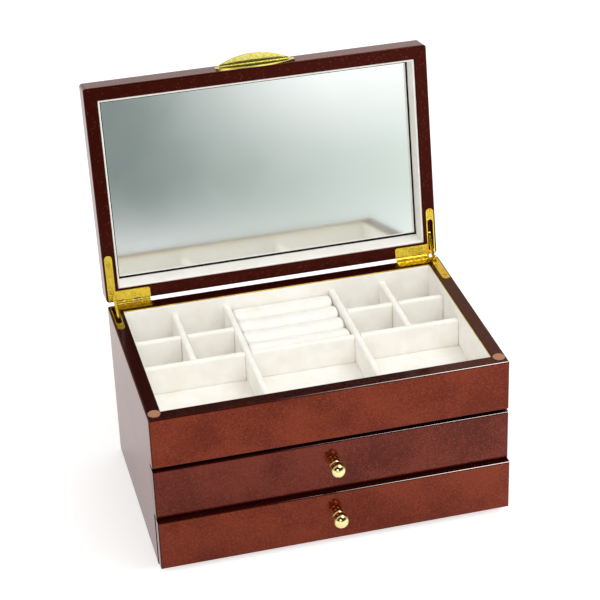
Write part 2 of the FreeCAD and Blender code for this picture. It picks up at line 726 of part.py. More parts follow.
def knob(z, y_face):
    """A turned knob: two balls on one axis, bored for its stud."""
    waist = ball_centre - bead_centre
    along = (waist ** 2 + bead_radius ** 2 - ball_radius ** 2) / (2 * waist)
    waist_radius = math.sqrt(bead_radius ** 2 - along ** 2)
    foot_radius = math.sqrt(bead_radius ** 2 - bead_centre ** 2)
    foot = Vector(foot_radius, 0, 0)
    pinch = Vector(waist_radius, -bead_centre - along, 0)
    tip = Vector(0, -ball_centre - ball_radius, 0)
    slant = math.sqrt(0.5)
    edges = [
        Part.makeLine(Vector(0, 0, 0), foot),
        Part.Arc(foot, Vector(bead_radius, -bead_centre, 0), pinch).toShape(),
        Part.Arc(pinch, Vector(ball_radius * slant, -ball_centre - ball_radius * slant, 0), tip).toShape(),
        Part.makeLine(tip, Vector(0, 0, 0)),
    ]
    turned = Part.Face(Part.Wire(edges)).revolve(Vector(0, 0, 0), Vector(0, 1, 0), 360)
    turned.translate(Vector(0, y_face, z))
    bore = rod(stud_radius + stud_fit, (0, y_face + 1, z), (0, -1, 0), stud_reach + 1 + stud_head_gap)
    return turned.cut(bore)


def drawer(name, front_z, floor_z, shift):
    """One drawer: overlaid front, sides, back, bottom, lining and knob."""
    y_face = front_y - shift
    y_in = y_face + drawer_front_thickness - drawer_front_gap
    box_x = inner_x - drawer_side_gap
    y_rear = inner_back - drawer_back_gap - shift
    z0 = floor_z + drawer_run_gap
    z1 = z0 + front_height - drawer_side_drop
    bottom_z = z0 + drawer_bottom_rise
    bottom_top = bottom_z + drawer_bottom
    knob_z = front_z + front_height / 2 + knob_rise

    inside = (box_x - drawer_side, y_in, y_rear - drawer_back)
    groove_x = inside[0] + drawer_groove
    groove_front = y_in - drawer_groove
    groove_rear = inside[2] + drawer_groove
    groove = block(-groove_x - groove_gap, groove_x + groove_gap, groove_front - groove_gap,
                   groove_rear + groove_gap, bottom_z - groove_gap, bottom_top + groove_gap)

    front = block(-half_width, half_width, y_face, y_in, front_z, front_z + front_height)
    front = soften(front, arris,
                   ("y", y_face, "z", front_z), ("y", y_face, "z", front_z + front_height),
                   ("y", y_face, "x", half_width), ("y", y_face, "x", -half_width))
    stud_hole = rod(stud_radius + stud_hole_fit, (0, y_face - 1, knob_z), (0, 1, 0),
                    drawer_front_thickness + 2)
    head_hole = rod(stud_head_radius + stud_head_gap, (0, y_in, knob_z), (0, -1, 0),
                    stud_head + stud_head_gap)
    nodes[name + "_front"] = front.cut(groove).cut(stud_hole).cut(head_hole)

    side = block(inside[0], box_x, y_in + boards_gap, y_rear, z0, z1).cut(groove)
    nodes[name + "_sides"] = group([flip_x(side), side])
    back = block(-inside[0] + boards_gap, inside[0] - boards_gap, inside[2], y_rear, z0, z1)
    nodes[name + "_back"] = back.cut(groove)
    nodes[name + "_bottom"] = block(-groove_x, groove_x, groove_front, groove_rear,
                                    bottom_z, bottom_top)
    lining_z = bottom_top + groove_gap
    pad = block(-inside[0] + groove_gap, inside[0] - groove_gap, inside[1] + groove_gap,
                inside[2] - groove_gap, lining_z, lining_z + drawer_floor_lining)
    walls = frame_boards(inside[0] - boards_gap, inside[1] + boards_gap, inside[2] - boards_gap,
                         drawer_wall_lining, lining_z + drawer_floor_lining, z1 - drawer_lining_drop)
    nodes[name + "_lining"] = group([pad] + walls)

    nodes[name + "_knob"] = knob(knob_z, y_face)
    head = rod(stud_head_radius, (0, y_in - stud_head_gap / 2, knob_z), (0, -1, 0), stud_head)
    stud = rod(stud_radius, (0, y_in - stud_head, knob_z), (0, -1, 0),
               y_in - stud_head - y_face + stud_reach)
    nodes[name + "_knob_screw"] = head.fuse(stud)


# ---- build and write ----------------------------------------------------------------------

case_boards()
nodes["lid_bumpers"] = group([bumper(-half_width + bumper_from_side),
                              bumper(half_width - bumper_from_side)])
tray()
hinges()
lid()
nodes["lid_pull"] = open_lid(lid_pull())
nodes["lid_pull_pins"] = group([open_lid(pull_pin(sign * pull_pin_spacing / 2, 0)) for sign in (-1, 1)])
drawer("drawer_upper", upper_front_z, shelf_top, 0)
drawer("drawer_lower", lower_front_z, base_top, drawer_ajar)

os.makedirs("parts", exist_ok=True)
for node_name, node_shape in nodes.items():
    node_shape.exportStep("parts/" + node_name + ".step")
print("%d nodes, stay arm turns %.4f degrees for %.1f of the lid" % (len(nodes), stay_turn, lid_open_angle))
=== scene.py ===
import json
import math

import bpy
from mathutils import Matrix, Vector


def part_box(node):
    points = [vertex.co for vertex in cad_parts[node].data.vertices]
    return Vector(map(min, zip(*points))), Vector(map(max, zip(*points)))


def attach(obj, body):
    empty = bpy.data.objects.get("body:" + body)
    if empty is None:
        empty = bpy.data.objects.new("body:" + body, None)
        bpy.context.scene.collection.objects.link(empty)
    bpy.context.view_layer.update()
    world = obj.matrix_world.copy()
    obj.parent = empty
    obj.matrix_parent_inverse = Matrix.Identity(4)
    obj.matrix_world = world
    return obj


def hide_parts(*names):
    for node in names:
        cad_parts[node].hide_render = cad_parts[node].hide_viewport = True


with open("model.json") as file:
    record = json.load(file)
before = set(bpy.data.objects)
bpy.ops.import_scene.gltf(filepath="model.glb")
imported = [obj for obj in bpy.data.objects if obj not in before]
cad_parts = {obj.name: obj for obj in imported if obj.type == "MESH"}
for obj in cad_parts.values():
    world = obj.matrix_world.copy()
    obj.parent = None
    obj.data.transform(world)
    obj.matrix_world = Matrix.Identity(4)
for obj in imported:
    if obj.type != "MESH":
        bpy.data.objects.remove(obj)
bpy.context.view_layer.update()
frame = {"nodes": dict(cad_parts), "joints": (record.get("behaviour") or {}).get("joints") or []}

bl_info = {
    "name": "Ring box dressing",
    "version": (1, 0, 0),
    "blender": (4, 5, 0),
    "location": "3D View > Sidebar > Ring Box",
    "description": "Lacquered boards, brass fittings, suede tray and ring rolls for the ring box",
    "category": "Object",
}

# ---- small helpers -------------------------------------------------------------------------

TINY = 1e-5
SHARP = math.radians(50)  # edges sharper than this are rounded
SOFT = math.radians(45)  # edges less sharp than this are shaded smooth
BOARD_CORNER = 0.12  # part of a wrapped board's least size that its turned corners take
PAD_CORNER = 0.3  # part of a pad's thickness that its turned corners take
LINING_ROUND = 0.35  # part of a wall lining's thickness that its top edges take
SURROUND_ROUND = 0.2  # part of a mirror board's least size that its top edges take
WHOLE_LENGTH = 0.4  # an edge longer than this part of its piece runs the piece's whole length
SWELL_SIZE = 0.018  # width in metres of the cloth's rise and fall over its card


def linear(text):
    """An sRGB hex colour as linear red, green and blue."""
    shades = [int(text[i:i + 2], 16) / 255 for i in (1, 3, 5)]
    return tuple(c / 12.92 if c <= 0.04045 else ((c + 0.055) / 1.055) ** 2.4 for c in shades)


def per(millimetres):
    """The texture scale at which a feature measures that much on Object coordinates."""
    return 1000 / millimetres


def add(tree, kind, inputs=None, **settings):
    """Adds a shader node; inputs are linked where they are sockets and set where they are values."""
    node = tree.nodes.new("ShaderNode" + kind)
    for name, value in settings.items():
        setattr(node, name, value)
    for key, value in (inputs or {}).items():
        if isinstance(value, bpy.types.NodeSocket):
            tree.links.new(value, node.inputs[key])
        else:
            node.inputs[key].default_value = value
    return node


def new_material(name):
    """An empty node material and its tree."""
    material = bpy.data.materials.new(name)
    material.use_nodes = True
    material.node_tree.nodes.clear()
    return material, material.node_tree


def four(colour):
    """A colour with full alpha."""
    return (*colour, 1.0)


def sizes():
    """The sizes that the sidebar shows."""
    return bpy.context.scene.ring_box_sizes


def colours():
    """The colours that the sidebar shows."""
    return bpy.context.scene.ring_box_colours


# ---- materials -----------------------------------------------------------------------------

def lacquered_mahogany(name, stain, stain_deep, gleam, gleam_deep, opened, edge):
    """Fibreboard with a red mahogany stain under sprayed and buffed gloss lacquer.

    The dye under the lacquer is nearly clear, so most of the colour comes back as a red gleam and
    little as a deep maroon body.  The dye takes unevenly: soft patches, and fine lighter specks
    where pores and chips took none.  The boards' edges, which face up or down with the lid shut,
    take up more stain and are dark chocolate, and their darker tint also paints the shade that
    those faces see.  Painted shade draws a dark line round every board, on each arris and on the
    flats beside it.  A painted highlight makes only the right half of a board's upper front arris
    glint.  opened is the angle that the boards are turned by, and edge is 1 for boards whose upper
    edges show and -1 for those whose lower do."""
    material, tree = new_material(name)
    coordinates = add(tree, "TexCoord")
    place = coordinates.outputs["Object"]
    patch = add(tree, "TexNoise", {"Vector": place, "Scale": per(38), "Detail": 3.0})
    patch_range = add(tree, "MapRange", {"Value": patch.outputs["Fac"], "From Min": 0.36,
                                         "From Max": 0.66})
    # Real pores are about 0.3 mm; they are drawn 1.1 mm apart so that they show.
    pore = add(tree, "TexNoise", {"Vector": place, "Scale": per(1.1), "Detail": 2.0, "Roughness": 0.7})
    pore_range = add(tree, "MapRange", {"Value": pore.outputs["Fac"], "From Min": 0.36,
                                        "From Max": 0.66, "To Min": -0.7, "To Max": 0.7})
    tone = add(tree, "Math", {0: patch_range.outputs["Result"], 1: pore_range.outputs["Result"]},
               operation="ADD", use_clamp=True)
    chip = add(tree, "TexVoronoi", {"Vector": place, "Scale": per(2.8)})
    chip_range = add(tree, "MapRange", {"Value": chip.outputs["Distance"], "From Min": 0.10,
                                        "From Max": 0.24, "To Min": 0.5, "To Max": 0.0})
    shut = add(tree, "VectorRotate", {"Vector": coordinates.outputs["Normal"], "Angle": opened},
               rotation_type="X_AXIS")
    lengths = add(tree, "VectorMath", {0: shut.outputs["Vector"]}, operation="ABSOLUTE")
    sides = add(tree, "SeparateXYZ", {0: lengths.outputs["Vector"]})
    most = add(tree, "Math", {0: sides.outputs["X"], 1: sides.outputs["Y"]}, operation="MAXIMUM")
    most = add(tree, "Math", {0: most.outputs[0], 1: sides.outputs["Z"]}, operation="MAXIMUM")
    # Painted shade: the rounded arris itself is darkened, standing in for the dark line that it shows.
    bare = add(tree, "MapRange", {"Value": most.outputs[0], "From Min": 0.98, "From Max": 0.90,
                                  "To Min": 0.0, "To Max": 0.8})
    upright = add(tree, "SeparateXYZ", {0: shut.outputs["Vector"]})
    # Faces that point up or down with the lid shut take up more stain, and their darker tint also
    # paints the shade that those faces see.
    soak_and_shade = add(tree, "MapRange", {"Value": upright.outputs["Z"], "From Min": 0.75 * edge,
                                  "From Max": 0.95 * edge})
    # Painted highlight: on the upper front arris, and along X only on the box's right half, the lacquer
    # reflects far more, so the lamp draws a glint there.
    glint = add(tree, "MapRange", {"Value": upright.outputs["Y"], "From Min": -0.25, "From Max": -0.40})
    glint = add(tree, "MapRange", {"Value": upright.outputs["Z"], "From Min": 0.60, "From Max": 0.72,
                                   "To Max": glint.outputs["Result"]})
    along = add(tree, "SeparateXYZ", {0: place})
    glint = add(tree, "MapRange", {"Value": along.outputs["X"], "From Min": -0.05, "From Max": 0.11,
                                   "To Max": glint.outputs["Result"]})
    # How far a rounded corner's normal leans from the face's tells what lies beside an arris.
    turned = add(tree, "Bevel", {"Radius": 0.0015}, samples=4)
    lean = add(tree, "VectorMath", {0: add(tree, "NewGeometry").outputs["Normal"],
                                    1: turned.outputs["Normal"]}, operation="DOT_PRODUCT")
    # Painted shade: the flats beside each arris are darkened nearly to black, drawing a dark line round
    # every board.
    beside_arris_shade = add(tree, "MapRange", {"Value": lean.outputs["Value"], "From Min": 0.999, "From Max": 0.88,
                                    "To Min": 0.0, "To Max": 0.85})
    shades = []
    # The painted glint is thinner than a pixel, so it is made stronger than lacquer's to show.
    maroon = linear("#260705")
    # Near-black of the painted shade beside the arrises.
    beside_arris_shade_colour = (0.02, 0.004, 0.002)
    glare = (3.3, 3.0, 2.9)
    for light, dark, soaked_and_shaded, chipped, on_arris_shade, shining in (
            (stain, stain_deep, maroon, linear("#6b2412"), maroon, maroon),
            (gleam, gleam_deep, linear("#8a301c"), linear("#ffb383"), linear("#4a2018"), glare)):
        shade = add(tree, "Mix", {0: tone.outputs[0], 6: four(light), 7: four(dark)}, data_type="RGBA")
        for factor, colour in ((soak_and_shade, soaked_and_shaded), (chip_range, chipped), (beside_arris_shade, beside_arris_shade_colour), (bare, on_arris_shade),
                               (glint, shining)):
            shade = add(tree, "Mix", {0: factor.outputs["Result"], 6: shade.outputs[2],
                                      7: four(colour)}, data_type="RGBA")
        shades.append(shade.outputs[2])
    rough = add(tree, "MapRange", {"Value": pore.outputs["Fac"], "To Min": 0.10, "To Max": 0.22})
    # Buffed lacquer keeps a very faint orange peel, about 2.5 mm across.
    peel = add(tree, "TexNoise", {"Vector": place, "Scale": per(2.5), "Detail": 1.0})
    bump = add(tree, "Bump", {"Height": peel.outputs["Fac"], "Strength": 0.03, "Distance": 0.0003})
    shader = add(tree, "BsdfPrincipled", {
        "Base Color": shades[0], "Roughness": rough.outputs["Result"], "IOR": 1.75,
        "Specular IOR Level": 1.0, "Specular Tint": shades[1],
        "Coat Weight": 0.06, "Coat Roughness": 0.03, "Coat IOR": 1.5, "Normal": bump.outputs["Normal"]})
    add(tree, "OutputMaterial", {"Surface": shader.outputs["BSDF"]})
    return material


def plain_poplar(name, light, dark):
    """Planed poplar, left bare: pale, matt, with a soft straight grain along the board."""
    material, tree = new_material(name)
    place = add(tree, "TexCoord").outputs["Object"]
    stretch = add(tree, "Mapping", {"Vector": place, "Scale": (0.08, 1.0, 1.0)})
    grain = add(tree, "TexNoise", {"Vector": stretch.outputs["Vector"], "Scale": per(2.2),
                                   "Detail": 4.0, "Distortion": 0.4})
    tone = add(tree, "Mix", {0: grain.outputs["Fac"], 6: four(light), 7: four(dark)}, data_type="RGBA")
    bump = add(tree, "Bump", {"Height": grain.outputs["Fac"], "Strength": 0.15, "Distance": 0.0002})
    shader = add(tree, "BsdfPrincipled", {
        "Base Color": tone.outputs[2], "Roughness": 0.7, "Normal": bump.outputs["Normal"]})
    add(tree, "OutputMaterial", {"Surface": shader.outputs["BSDF"]})
    return material


def brushed_suede(name, colour, shade):
    """Microsuede: a short brushed nap, matt and soft, with a pale sheen at its turned edges.

    Strokes in the nap leave cloudy patches of slightly warmer tone."""
    material, tree = new_material(name)
    place = add(tree, "TexCoord").outputs["Object"]
    stroke = add(tree, "TexNoise", {"Vector": place, "Scale": per(16), "Detail": 3.0,
                                    "Distortion": 0.6})
    stroke_range = add(tree, "MapRange", {"Value": stroke.outputs["Fac"], "From Min": 0.35,
                                          "From Max": 0.7})
    tone = add(tree, "Mix", {0: stroke_range.outputs["Result"], 6: four(colour), 7: four(shade)},
               data_type="RGBA")
    # The fibres are about 0.1 mm; they are drawn 0.7 mm apart so that they show.
    fibre = add(tree, "TexNoise", {"Vector": place, "Scale": per(0.7), "Detail": 3.0, "Roughness": 0.7})
    bump = add(tree, "Bump", {"Height": fibre.outputs["Fac"], "Strength": 0.35, "Distance": 0.0002})
    shader = add(tree, "BsdfPrincipled", {
        "Base Color": tone.outputs[2], "Roughness": 0.92, "Sheen Weight": 0.25, "Sheen Roughness": 0.45,
        "Sheen Tint": four(linear("#fffaf0")), "Specular IOR Level": 0.2,
        "Normal": bump.outputs["Normal"]})
    add(tree, "OutputMaterial", {"Surface": shader.outputs["BSDF"]})
    return material


def polished_brass(name, bright, dull, waviness):
    """Pressed brass, polished and lacquered: mirror-bright yellow with faint duller clouds.

    The clear lacquer puts a white glint over the yellow wherever a lamp is seen in it.  Sheet that
    was pressed flat keeps more waviness than a turned or drawn piece, so its reflections are softer
    and break up."""
    material, tree = new_material(name)
    place = add(tree, "TexCoord").outputs["Object"]
    cloud = add(tree, "TexNoise", {"Vector": place, "Scale": per(4), "Detail": 3.0})
    cloud_range = add(tree, "MapRange", {"Value": cloud.outputs["Fac"], "From Min": 0.5,
                                         "From Max": 0.8})
    tone = add(tree, "Mix", {0: cloud_range.outputs["Result"], 6: four(bright), 7: four(dull)},
               data_type="RGBA")
    rough = add(tree, "MapRange", {"Value": cloud.outputs["Fac"], "To Min": 0.05 + 0.3 * waviness,
                                   "To Max": 0.14 + 0.4 * waviness})
    wave = add(tree, "TexNoise", {"Vector": place, "Scale": per(2.2), "Detail": 1.0})
    bump = add(tree, "Bump", {"Height": wave.outputs["Fac"], "Strength": waviness, "Distance": 0.0003})
    shader = add(tree, "BsdfPrincipled", {
        "Base Color": tone.outputs[2], "Metallic": 1.0, "Roughness": rough.outputs["Result"],
        "Coat Weight": 0.3, "Coat Roughness": 0.05, "Coat IOR": 1.55, "Normal": bump.outputs["Normal"]})
    add(tree, "OutputMaterial", {"Surface": shader.outputs["BSDF"]})
    return material


def zinc_steel(name, colour):
    """Zinc-plated steel screws: pale grey, slightly satin."""
    material, tree = new_material(name)
    place = add(tree, "TexCoord").outputs["Object"]
    spangle = add(tree, "TexNoise", {"Vector": place, "Scale": per(1.5)})
    rough = add(tree, "MapRange", {"Value": spangle.outputs["Fac"], "To Min": 0.3, "To Max": 0.5})
    shader = add(tree, "BsdfPrincipled", {
        "Base Color": four(colour), "Metallic": 1.0, "Roughness": rough.outputs["Result"]})
    add(tree, "OutputMaterial", {"Surface": shader.outputs["BSDF"]})
    return material


def silvered_glass(name, tint):
    """Float glass silvered on its back: a mirror with a faint green cast.

    Haze in the silvering softens the picture, and the clear face of the glass lays a faint sharp
    one over it."""
    material, tree = new_material(name)
    place = add(tree, "TexCoord").outputs["Object"]
    haze = add(tree, "TexNoise", {"Vector": place, "Scale": per(60), "Detail": 3.0, "Distortion": 0.8})
    rough = add(tree, "MapRange", {"Value": haze.outputs["Fac"], "From Min": 0.3, "From Max": 0.7,
                                   "To Min": 0.08, "To Max": 0.11})
    tone = add(tree, "Mix", {0: haze.outputs["Fac"], 6: four(tint),
                             7: four(tuple(0.96 * c for c in tint))}, data_type="RGBA")
    shader = add(tree, "BsdfPrincipled", {
        "Base Color": tone.outputs[2], "Metallic": 1.0, "Roughness": rough.outputs["Result"],
        "Coat Weight": 1.0, "Coat Roughness": 0.015, "Coat IOR": 2.2})
    add(tree, "OutputMaterial", {"Surface": shader.outputs["BSDF"]})
    return material


def black_board(name, colour):
    """Pressed black fibre board behind the mirror: matt, with short fibres.

    Its black also paints the shade in the narrow gap round the glass, which shows as a dark line."""
    material, tree = new_material(name)
    place = add(tree, "TexCoord").outputs["Object"]
    fibre = add(tree, "TexNoise", {"Vector": place, "Scale": per(1.0), "Detail": 4.0})
    tone = add(tree, "Mix", {0: fibre.outputs["Fac"], 6: four(colour),
                             7: four(tuple(0.7 * c for c in colour))}, data_type="RGBA")
    shader = add(tree, "BsdfPrincipled", {"Base Color": tone.outputs[2], "Roughness": 0.9})
    add(tree, "OutputMaterial", {"Surface": shader.outputs["BSDF"]})
    return material


def pressed_felt(name, colour):
    """Thin pressed felt: dark, matt and fuzzy, with tangled fibres."""
    material, tree = new_material(name)
    place = add(tree, "TexCoord").outputs["Object"]
    tangle = add(tree, "TexNoise", {"Vector": place, "Scale": per(0.9), "Detail": 5.0,
                                    "Distortion": 1.5})
    tone = add(tree, "Mix", {0: tangle.outputs["Fac"], 6: four(tuple(0.6 * c for c in colour)),
                             7: four(tuple(min(1.0, 1.5 * c) for c in colour))}, data_type="RGBA")
    bump = add(tree, "Bump", {"Height": tangle.outputs["Fac"], "Strength": 0.6, "Distance": 0.0004})
    shader = add(tree, "BsdfPrincipled", {
        "Base Color": tone.outputs[2], "Roughness": 1.0, "Sheen Weight": 0.3,
        "Normal": bump.outputs["Normal"]})
    add(tree, "OutputMaterial", {"Surface": shader.outputs["BSDF"]})
    return material


def moulded_rubber(name, colour):
    """Small moulded bumper discs: tan rubber, satin, faintly pitted."""
    material, tree = new_material(name)
    place = add(tree, "TexCoord").outputs["Object"]
    pit = add(tree, "TexNoise", {"Vector": place, "Scale": per(0.8), "Detail": 2.0})
    tone = add(tree, "Mix", {0: pit.outputs["Fac"], 6: four(colour),
                             7: four(tuple(0.75 * c for c in colour))}, data_type="RGBA")
    bump = add(tree, "Bump", {"Height": pit.outputs["Fac"], "Strength": 0.2, "Distance": 0.0002})
    shader = add(tree, "BsdfPrincipled", {
        "Base Color": tone.outputs[2], "Roughness": 0.45, "Normal": bump.outputs["Normal"]})
    add(tree, "OutputMaterial", {"Surface": shader.outputs["BSDF"]})
    return material


def finish_nodes(material, *names):
    """Gives CAD nodes their material."""
    for name in names:
        mesh = frame["nodes"][name].data
        mesh.materials.clear()
        mesh.materials.append(material)


# ---- modelling helpers ---------------------------------------------------------------------

def deselect():
    """Leaves nothing selected."""
    bpy.ops.object.select_all(action="DESELECT")


def primitive_block(name, low, high):
    """A cube primitive between two corners, with its place in its mesh."""
    deselect()
    bpy.ops.mesh.primitive_cube_add(size=1, location=(low + high) / 2, scale=high - low)
    piece = bpy.context.object
    piece.name = name
    bpy.ops.object.transform_apply(location=True, rotation=True, scale=True)
    return piece


def edit(piece, kind, wanted):
    """Opens edit mode with only those edges or faces selected whose corners are wanted."""
    mesh = piece.data
    for item in (*mesh.vertices, *mesh.edges, *mesh.polygons):
        item.select = False
    count = 0
    for item in mesh.edges if kind == "EDGE" else mesh.polygons:
        item.select = wanted([mesh.vertices[i].co for i in item.vertices])
        count += item.select
    if not count:
        raise RuntimeError(f"nothing to select on {piece.name}")
    bpy.context.tool_settings.mesh_select_mode = (False, kind == "EDGE", kind == "FACE")
    bpy.ops.object.mode_set(mode="EDIT")


def leave_edit():
    bpy.ops.object.mode_set(mode="OBJECT")


def runs_along(ends, axis):
    """Whether an edge lies along one axis."""
    span = ends[1] - ends[0]
    return all(abs(span[i]) < TINY for i in range(3) if i != axis)


def divide(piece, axis, spacing):
    """Cuts the piece into even strips across one axis."""
    places = [vertex.co[axis] for vertex in piece.data.vertices]
    full = max(places) - min(places)
    cuts = round(full / spacing) - 1
    if cuts < 1:
        return
    shortest = WHOLE_LENGTH * full
    edit(piece, "EDGE", lambda ends: runs_along(ends, axis) and (ends[1] - ends[0]).length > shortest)
    bpy.ops.mesh.subdivide(number_cuts=cuts)
    leave_edit()


def apply_modifier(piece, kind, **settings):
    """Adds one modifier and applies it."""
    modifier = piece.modifiers.new(kind.title(), kind)
    for name, value in settings.items():
        setattr(modifier, name, value)
    bpy.context.view_layer.objects.active = piece
    bpy.ops.object.modifier_apply(modifier=modifier.name)


def smooth(piece):
    """Shades the piece smooth, but for its sharp edges."""
    deselect()
    piece.select_set(True)
    bpy.ops.object.shade_smooth_by_angle(angle=SOFT)


def cloud_texture(name, size):
    """A soft noise for uneven cloth, with features of that size in metres."""
    texture = bpy.data.textures.get(name) or bpy.data.textures.new(name, "CLOUDS")
    texture.noise_scale = size
    return texture


def wrapped_board(name, low, high, top_round):
    """A card board wrapped in cloth: its upper long edges rolled over, the rest softly turned."""
    piece = primitive_block(name, low, high)
    size = high - low
    along = 0 if size.x > size.y else 1
    edit(piece, "EDGE", lambda ends: runs_along(ends, along) and ends[0].z > high.z - TINY)
    bpy.ops.mesh.bevel(offset=top_round, segments=4)
    leave_edit()
    divide(piece, along, sizes().cloth_step)
    divide(piece, 2, sizes().cloth_step)
    apply_modifier(piece, "BEVEL", width=min(size) * BOARD_CORNER, segments=2, limit_method="ANGLE",
                   angle_limit=SHARP)
    apply_modifier(piece, "DISPLACE", texture=cloud_texture("cloth_swell", SWELL_SIZE),
                   strength=sizes().cloth_unevenness, mid_level=0.5)
    smooth(piece)
    return piece


def cloth_pad(name, low, high):
    """A thin card pad wrapped in cloth, lying flat."""
    piece = primitive_block(name, low, high)
    divide(piece, 0, 2 * sizes().cloth_step)
    divide(piece, 1, 2 * sizes().cloth_step)
    apply_modifier(piece, "BEVEL", width=PAD_CORNER * (high - low).z, segments=3, limit_method="ANGLE",
                   angle_limit=SHARP)
    smooth(piece)
    return piece


def join(name, pieces):
    """Several pieces as one object."""
    deselect()
    for piece in pieces:
        piece.select_set(True)
    bpy.context.view_layer.objects.active = pieces[0]
    bpy.ops.object.join()
    pieces[0].name = name
    return pieces[0]


def frame_of_boards(name, low, high, thickness):
    """Four wrapped boards round the inside of a box, the front and back ones running through."""
    inner_low = Vector((low.x + thickness, low.y + thickness, low.z))
    inner_high = Vector((high.x - thickness, high.y - thickness, high.z))
    spans = {
        "front": (low, Vector((high.x, inner_low.y, high.z))),
        "back": (Vector((low.x, inner_high.y, low.z)), high),
        "left": (Vector((low.x, inner_low.y, low.z)), Vector((inner_low.x, inner_high.y, high.z))),
        "right": (Vector((inner_high.x, inner_low.y, low.z)), Vector((high.x, inner_high.y, high.z))),
    }
    return join(name, [wrapped_board(f"{name}_{side}", *span, LINING_ROUND * thickness)
                       for side, span in spans.items()])


def finish_piece(piece, material, body, slot, *nodes):
    """Gives a new piece its material, its body and the CAD nodes that it stands for."""
    piece.data.materials.clear()
    piece.data.materials.append(material)
    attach(piece, body)
    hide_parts(*nodes)
    return piece


def material_of(name, make, *arguments):
    """A material, made the first time that it is asked for."""
    return bpy.data.materials.get(name) or make(name, *arguments)


def lid_hinge():
    """The lid's joint in the frame."""
    return next(joint for joint in frame["joints"] if joint["name"] == "lid_hinge")


def lid_angle():
    """How far the lid is open at rest."""
    return math.radians(lid_hinge()["range_deg"][1])


def suede():
    """The suede that all the soft pieces are covered in."""
    return material_of("brushed_microsuede", brushed_suede, colours().suede, colours().suede_shade)


# ---- properties ----------------------------------------------------------------------------

def swatch(name, description, default):
    """A colour that the sidebar shows."""
    return bpy.props.FloatVectorProperty(name=name, description=description, default=linear(default),
                                         subtype="COLOR", size=3, min=0, max=1)


def length(name, description, default):
    """A length in metres that the sidebar shows."""
    return bpy.props.FloatProperty(name=name, description=description, default=default,
                                   unit="LENGTH", min=0, precision=5)


class RingBoxSizes(bpy.types.PropertyGroup):
    """Sizes of the soft pieces."""

    tray_wall: length("Tray wall lining", "Thickness of the lining on the tray's walls", 0.0012)
    drawer_wall: length("Drawer wall lining", "Thickness of the lining on a drawer's walls", 0.0010)
    mirror_board_rim: length("Mirror board", "Thickness of the mirror's boards at the rim", 0.0015)
    mirror_board_swell: length("Mirror board swell", "How much thicker the end ones' feet are", 0.0025)
    drawer_floor: length("Drawer floor lining", "Thickness of the pad on a drawer's floor", 0.0012)
    divider: length("Divider", "Thickness of a divider in the tray", 0.0054)
    divider_round: length("Divider edge", "Rounding of a divider's upper edges", 0.0019)
    clearance: length("Clearance", "Space between two wrapped boards that meet", 0.0001)
    cloth_step: length("Cloth step", "Spacing of the points on a wrapped board", 0.0030)
    cloth_unevenness: length("Cloth unevenness", "Rise and fall of the cloth over its card", 0.0003)
    roll_crown: length("Roll crown", "Rounding of a ring roll's top edges", 0.0075)
    roll_step: length("Roll step", "Spacing of the points on a ring roll", 0.0013)
    roll_inset: length("Roll inset", "How much smaller a ring roll starts, before it swells", 0.0007)
    roll_swell: length("Roll swell", "The furthest that a point of a ring roll may swell", 0.0010)
    floor_size: length("Floor size", "Width and depth of the floor sheet", 3.0)
    floor_front: length("Floor front", "How far the floor sheet reaches in front of the box", 0.72)


class RingBoxColours(bpy.types.PropertyGroup):
    """Colours of the finishes."""

    stain: swatch("Stain", "Body of the red mahogany stain where it is thin", "#440c08")
    stain_deep: swatch("Deep stain", "Body of the stain where it is thick", "#340806")
    gleam: swatch("Gleam", "Red gleam of the lacquered stain where it is thin", "#fc7c50")
    gleam_deep: swatch("Deep gleam", "The same gleam where the stain is thick", "#c8583a")
    drawer_gleam: swatch("Drawer gleam", "The browner gleam of the upper drawer front", "#dc745c")
    drawer_gleam_deep: swatch("Deep drawer gleam", "The same where the stain is thick", "#a05040")
    poplar: swatch("Poplar", "Bare inner boards", "#c9a67c")
    poplar_dark: swatch("Poplar grain", "Grain of the bare boards", "#ab8458")
    suede: swatch("Suede", "Cream cloth", "#fbfaf6")
    suede_shade: swatch("Suede shade", "Cream cloth where the nap lies down", "#f5f2ea")
    brass: swatch("Brass", "Brass of the hinges and stays", "#ffe04c")
    brass_dull: swatch("Dull brass", "The same where its polish has dulled", "#dcb428")
    pale_brass: swatch("Pale brass", "Brass of the knobs", "#f6e7a4")
    pale_brass_dull: swatch("Dull pale brass", "The same where its polish has dulled", "#e2cf84")
    pull_brass: swatch("Pull brass", "Brass of the lid's pull", "#fff386")
    pull_brass_dull: swatch("Dull pull brass", "The same where its polish has dulled", "#ecd650")
    gilt: swatch("Gilt", "Edge trim of the lining", "#f2d06a")
    steel: swatch("Steel", "Zinc-plated screws", "#b9bcbe")
    mirror: swatch("Mirror", "Cast of the mirror", "#fbfffd")
    # The backing's black also paints the shade in the gap round the glass.
    board: swatch("Board", "Backing of the mirror", "#1c1a18")
    felt: swatch("Felt", "Sheet under the base", "#3a1714")
    bumper: swatch("Bumper", "Discs that meet the lid", "#b27b5a")
    floor: swatch("Floor", "Pale paper floor", "#ececec")
    dim_side: swatch("Dim side", "What the mirror sees low down on the dim side", "#707b79")
    light_side: swatch("Light side", "What the mirror sees low down on the lighter side", "#d6dfd9")
    warm_wall: swatch("Warm wall", "What the rims see behind the box", "#d0bfa8")
    low_wall: swatch("Low wall", "What the lid's upper edge sees behind the box", "#978e89")
    dark_side: swatch("Dark side", "What the brass sees behind the lens", "#2c2a28")


# ---- operators -----------------------------------------------------------------------------

